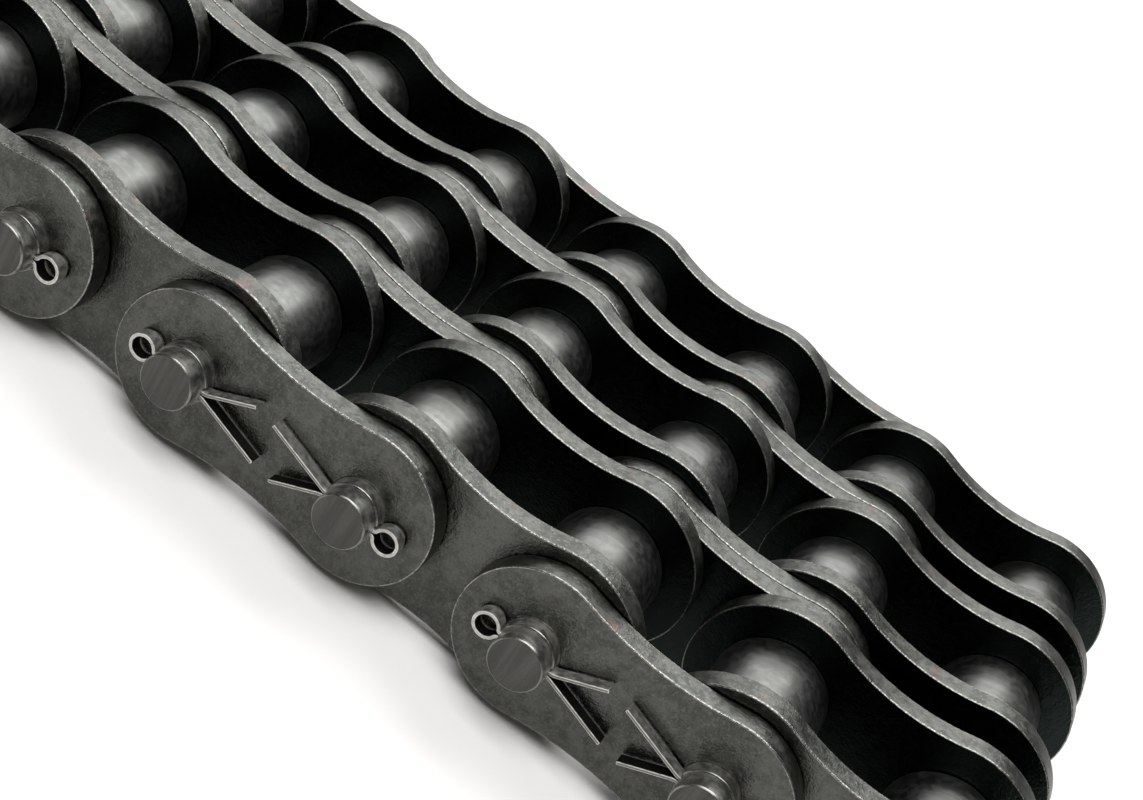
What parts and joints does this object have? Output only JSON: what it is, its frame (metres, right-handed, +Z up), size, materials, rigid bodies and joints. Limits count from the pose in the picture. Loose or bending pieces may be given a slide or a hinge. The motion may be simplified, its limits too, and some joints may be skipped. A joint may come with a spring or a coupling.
{
  "type": "roller chain",
  "caption": "Straight length of three-strand cottered roller chain with free rollers, pressed bushes and plates, long pins and spread split cotters, open for a connecting link at both ends.",
  "frame": {"origin": "centre of the bounding box in X and Y, at its lowest point, on the surface that the chain lies on", "axes": "+X along the chain towards link 1, +Y along the pins from the cottered side to the riveted side, +Z up across the plates"},
  "size_m": [0.3014, 0.1446, 0.0347],
  "materials": {
    "plate_steel": "blackened, tumbled, satin, with burnished edges",
    "roller_steel": "smooth satin, oiled",
    "bush_steel": "satin",
    "pin_steel": "ground and turned, dark",
    "cotter_wire": "drawn wire, bright on its cut edges"
  },
  "bodies": {
    "link4": {"link4_cotter_a": "cotter_wire", "link4_cotter_b": "cotter_wire", "link4_cotter_side_plate": "plate_steel", "link4_middle_mid_plates": "plate_steel", "link4_near_mid_plates": "plate_steel", "link4_pinned_side_plate": "plate_steel"},
    "link3": {"link3_far_roller_link": "plate_steel", "link3_middle_roller_link": "plate_steel", "link3_near_roller_link": "plate_steel"},
    "link5": {"link5_far_roller_link": "plate_steel", "link5_middle_roller_link": "plate_steel", "link5_near_roller_link": "plate_steel"},
    "link2": {"link2_cotter_a": "cotter_wire", "link2_cotter_b": "cotter_wire", "link2_cotter_side_plate": "plate_steel", "link2_middle_mid_plates": "plate_steel", "link2_near_mid_plate_back": "plate_steel", "link2_near_mid_plate_front": "plate_steel", "link2_pin_a": "pin_steel", "link2_pin_b": "pin_steel", "link2_riveted_side_plate": "plate_steel"},
    "link6": {"link6_cotter_a": "cotter_wire", "link6_cotter_b": "cotter_wire", "link6_cotter_side_plate": "plate_steel", "link6_middle_mid_plates": "plate_steel", "link6_near_mid_plates": "plate_steel", "link6_pinned_side_plate": "plate_steel"},
    "link1_near": {"link1_near_back_plate": "plate_steel", "link1_near_bush_a": "bush_steel", "link1_near_bush_b": "bush_steel", "link1_near_front_plate": "plate_steel"},
    "link1_middle": {"link1_middle_roller_link": "plate_steel"},
    "link1_far": {"link1_far_roller_link": "plate_steel"},
    "link7_near": {"link7_near_roller_link": "plate_steel"},
    "link7_middle": {"link7_middle_roller_link": "plate_steel"},
    "link7_far": {"link7_far_roller_link": "plate_steel"},
    "link1_near_roller_a": {"link1_near_roller_a": "roller_steel"},
    "link1_near_roller_b": {"link1_near_roller_b": "roller_steel"},
    "link1_middle_roller_a": {"link1_middle_roller_a": "roller_steel"},
    "link1_middle_roller_b": {"link1_middle_roller_b": "roller_steel"},
    "link1_far_roller_a": {"link1_far_roller_a": "roller_steel"},
    "link1_far_roller_b": {"link1_far_roller_b": "roller_steel"},
    "link3_near_roller_a": {"link3_near_roller_a": "roller_steel"},
    "link3_near_roller_b": {"link3_near_roller_b": "roller_steel"},
    "link3_middle_roller_a": {"link3_middle_roller_a": "roller_steel"},
    "link3_middle_roller_b": {"link3_middle_roller_b": "roller_steel"},
    "link3_far_roller_a": {"link3_far_roller_a": "roller_steel"},
    "link3_far_roller_b": {"link3_far_roller_b": "roller_steel"},
    "link5_near_roller_a": {"link5_near_roller_a": "roller_steel"},
    "link5_near_roller_b": {"link5_near_roller_b": "roller_steel"},
    "link5_middle_roller_a": {"link5_middle_roller_a": "roller_steel"},
    "link5_middle_roller_b": {"link5_middle_roller_b": "roller_steel"},
    "link5_far_roller_a": {"link5_far_roller_a": "roller_steel"},
    "link5_far_roller_b": {"link5_far_roller_b": "roller_steel"},
    "link7_near_roller_a": {"link7_near_roller_a": "roller_steel"},
    "link7_near_roller_b": {"link7_near_roller_b": "roller_steel"},
    "link7_middle_roller_a": {"link7_middle_roller_a": "roller_steel"},
    "link7_middle_roller_b": {"link7_middle_roller_b": "roller_steel"},
    "link7_far_roller_a": {"link7_far_roller_a": "roller_steel"},
    "link7_far_roller_b": {"link7_far_roller_b": "roller_steel"}
  },
  "joints": [
    {"name": "link3_swing", "type": "hinge", "parent": "link4", "child": "link3", "pos_m": [0.01905, 0.00233, 0.01735], "axis": [0, 1, 0], "range_deg": [-45, 45]},
    {"name": "link2_swing", "type": "hinge", "parent": "link3", "child": "link2", "pos_m": [0.05715, 0.00233, 0.01735], "axis": [0, 1, 0], "range_deg": [-45, 45]},
    {"name": "link5_swing", "type": "hinge", "parent": "link4", "child": "link5", "pos_m": [-0.01905, 0.00233, 0.01735], "axis": [0, -1, 0], "range_deg": [-45, 45]},
    {"name": "link6_swing", "type": "hinge", "parent": "link5", "child": "link6", "pos_m": [-0.05715, 0.00233, 0.01735], "axis": [0, -1, 0], "range_deg": [-45, 45]},
    {"name": "link1_near_swing", "type": "hinge", "parent": "link2", "child": "link1_near", "pos_m": [0.09525, -0.04311, 0.01735], "axis": [0, 1, 0], "range_deg": [-45, 45]},
    {"name": "link7_near_swing", "type": "hinge", "parent": "link6", "child": "link7_near", "pos_m": [-0.09525, -0.04311, 0.01735], "axis": [0, -1, 0], "range_deg": [-45, 45]},
    {"name": "link1_middle_swing", "type": "hinge", "parent": "link2", "child": "link1_middle", "pos_m": [0.09525, 0.00233, 0.01735], "axis": [0, 1, 0], "range_deg": [-45, 45]},
    {"name": "link7_middle_swing", "type": "hinge", "parent": "link6", "child": "link7_middle", "pos_m": [-0.09525, 0.00233, 0.01735], "axis": [0, -1, 0], "range_deg": [-45, 45]},
    {"name": "link1_far_swing", "type": "hinge", "parent": "link2", "child": "link1_far", "pos_m": [0.09525, 0.04777, 0.01735], "axis": [0, 1, 0], "range_deg": [-45, 45]},
    {"name": "link7_far_swing", "type": "hinge", "parent": "link6", "child": "link7_far", "pos_m": [-0.09525, 0.04777, 0.01735], "axis": [0, -1, 0], "range_deg": [-45, 45]},
    {"name": "link1_near_roller_a_spin", "type": "hinge", "parent": "link1_near", "child": "link1_near_roller_a", "pos_m": [0.13335, -0.04311, 0.01735], "axis": [0, 1, 0], "continuous": true},
    {"name": "link1_near_roller_b_spin", "type": "hinge", "parent": "link1_near", "child": "link1_near_roller_b", "pos_m": [0.09525, -0.04311, 0.01735], "axis": [0, 1, 0], "continuous": true},
    {"name": "link1_middle_roller_a_spin", "type": "hinge", "parent": "link1_middle", "child": "link1_middle_roller_a", "pos_m": [0.13335, 0.00233, 0.01735], "axis": [0, 1, 0], "continuous": true},
    {"name": "link1_middle_roller_b_spin", "type": "hinge", "parent": "link1_middle", "child": "link1_middle_roller_b", "pos_m": [0.09525, 0.00233, 0.01735], "axis": [0, 1, 0], "continuous": true},
    {"name": "link1_far_roller_a_spin", "type": "hinge", "parent": "link1_far", "child": "link1_far_roller_a", "pos_m": [0.13335, 0.04777, 0.01735], "axis": [0, 1, 0], "continuous": true},
    {"name": "link1_far_roller_b_spin", "type": "hinge", "parent": "link1_far", "child": "link1_far_roller_b", "pos_m": [0.09525, 0.04777, 0.01735], "axis": [0, 1, 0], "continuous": true},
    {"name": "link3_near_roller_a_spin", "type": "hinge", "parent": "link3", "child": "link3_near_roller_a", "pos_m": [0.05715, -0.04311, 0.01735], "axis": [0, 1, 0], "continuous": true},
    {"name": "link3_near_roller_b_spin", "type": "hinge", "parent": "link3", "child": "link3_near_roller_b", "pos_m": [0.01905, -0.04311, 0.01735], "axis": [0, 1, 0], "continuous": true},
    {"name": "link3_middle_roller_a_spin", "type": "hinge", "parent": "link3", "child": "link3_middle_roller_a", "pos_m": [0.05715, 0.00233, 0.01735], "axis": [0, 1, 0], "continuous": true},
    {"name": "link3_middle_roller_b_spin", "type": "hinge", "parent": "link3", "child": "link3_middle_roller_b", "pos_m": [0.01905, 0.00233, 0.01735], "axis": [0, 1, 0], "continuous": true},
    {"name": "link3_far_roller_a_spin", "type": "hinge", "parent": "link3", "child": "link3_far_roller_a", "pos_m": [0.05715, 0.04777, 0.01735], "axis": [0, 1, 0], "continuous": true},
    {"name": "link3_far_roller_b_spin", "type": "hinge", "parent": "link3", "child": "link3_far_roller_b", "pos_m": [0.01905, 0.04777, 0.01735], "axis": [0, 1, 0], "continuous": true},
    {"name": "link5_near_roller_a_spin", "type": "hinge", "parent": "link5", "child": "link5_near_roller_a", "pos_m": [-0.01905, -0.04311, 0.01735], "axis": [0, 1, 0], "continuous": true},
    {"name": "link5_near_roller_b_spin", "type": "hinge", "parent": "link5", "child": "link5_near_roller_b", "pos_m": [-0.05715, -0.04311, 0.01735], "axis": [0, 1, 0], "continuous": true},
    {"name": "link5_middle_roller_a_spin", "type": "hinge", "parent": "link5", "child": "link5_middle_roller_a", "pos_m": [-0.01905, 0.00233, 0.01735], "axis": [0, 1, 0], "continuous": true},
    {"name": "link5_middle_roller_b_spin", "type": "hinge", "parent": "link5", "child": "link5_middle_roller_b", "pos_m": [-0.05715, 0.00233, 0.01735], "axis": [0, 1, 0], "continuous": true},
    {"name": "link5_far_roller_a_spin", "type": "hinge", "parent": "link5", "child": "link5_far_roller_a", "pos_m": [-0.01905, 0.04777, 0.01735], "axis": [0, 1, 0], "continuous": true},
    {"name": "link5_far_roller_b_spin", "type": "hinge", "parent": "link5", "child": "link5_far_roller_b", "pos_m": [-0.05715, 0.04777, 0.01735], "axis": [0, 1, 0], "continuous": true},
    {"name": "link7_near_roller_a_spin", "type": "hinge", "parent": "link7_near", "child": "link7_near_roller_a", "pos_m": [-0.09525, -0.04311, 0.01735], "axis": [0, 1, 0], "continuous": true},
    {"name": "link7_near_roller_b_spin", "type": "hinge", "parent": "link7_near", "child": "link7_near_roller_b", "pos_m": [-0.13335, -0.04311, 0.01735], "axis": [0, 1, 0], "continuous": true},
    {"name": "link7_middle_roller_a_spin", "type": "hinge", "parent": "link7_middle", "child": "link7_middle_roller_a", "pos_m": [-0.09525, 0.00233, 0.01735], "axis": [0, 1, 0], "continuous": true},
    {"name": "link7_middle_roller_b_spin", "type": "hinge", "parent": "link7_middle", "child": "link7_middle_roller_b", "pos_m": [-0.13335, 0.00233, 0.01735], "axis": [0, 1, 0], "continuous": true},
    {"name": "link7_far_roller_a_spin", "type": "hinge", "parent": "link7_far", "child": "link7_far_roller_a", "pos_m": [-0.09525, 0.04777, 0.01735], "axis": [0, 1, 0], "continuous": true},
    {"name": "link7_far_roller_b_spin", "type": "hinge", "parent": "link7_far", "child": "link7_far_roller_b", "pos_m": [-0.13335, 0.04777, 0.01735], "axis": [0, 1, 0], "continuous": true}
  ]
}
